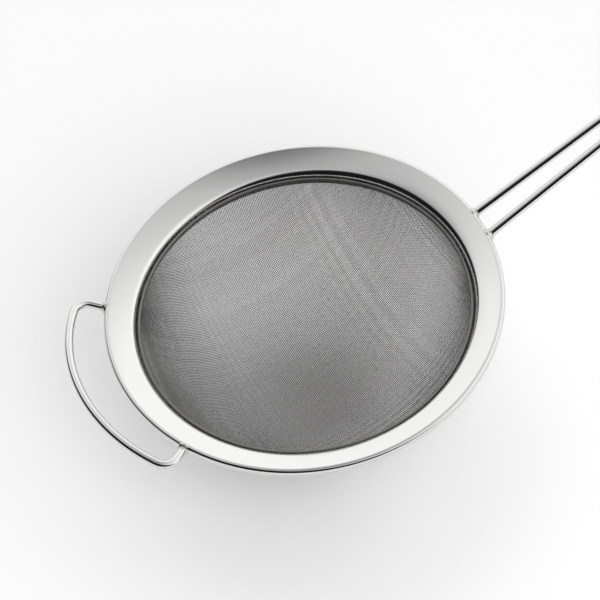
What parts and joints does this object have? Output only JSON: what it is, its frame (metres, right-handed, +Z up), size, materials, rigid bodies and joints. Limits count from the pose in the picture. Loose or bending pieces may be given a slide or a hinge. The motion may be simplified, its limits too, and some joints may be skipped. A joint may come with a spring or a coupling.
{
  "type": "tea strainer",
  "caption": "Tea strainer with a woven wire bowl in a dished steel rim, a long two-wire handle ending in a hanging loop, and a wire rest bow opposite it.",
  "frame": {"origin": "on the bowl's axis, at the lower edge of the collar that drops into a cup", "axes": "+Z up along the bowl's axis, +X along the handle as seen from above, the rest bow towards -X, +Y to the handle's left"},
  "size_m": [0.2196, 0.095, 0.09],
  "materials": {
    "rim_steel": "pressed stainless steel sheet, mirror polished",
    "ring_steel": "round-edged stainless steel strip, mill finish",
    "mesh_steel": "plain-woven fine stainless steel wire cloth",
    "wire_steel": "drawn stainless steel wire, electropolished",
    "weld_steel": "resistance weld, polished with the wire"
  },
  "bodies": {
    "root": {"rim": "rim_steel", "retaining_ring": "ring_steel", "mesh_bowl": "mesh_steel", "handle_wire": "wire_steel", "rest_bow": "wire_steel", "handle_weld_left": "weld_steel", "handle_weld_right": "weld_steel", "bow_weld_left": "weld_steel", "bow_weld_right": "weld_steel"}
  },
  "joints": []
}
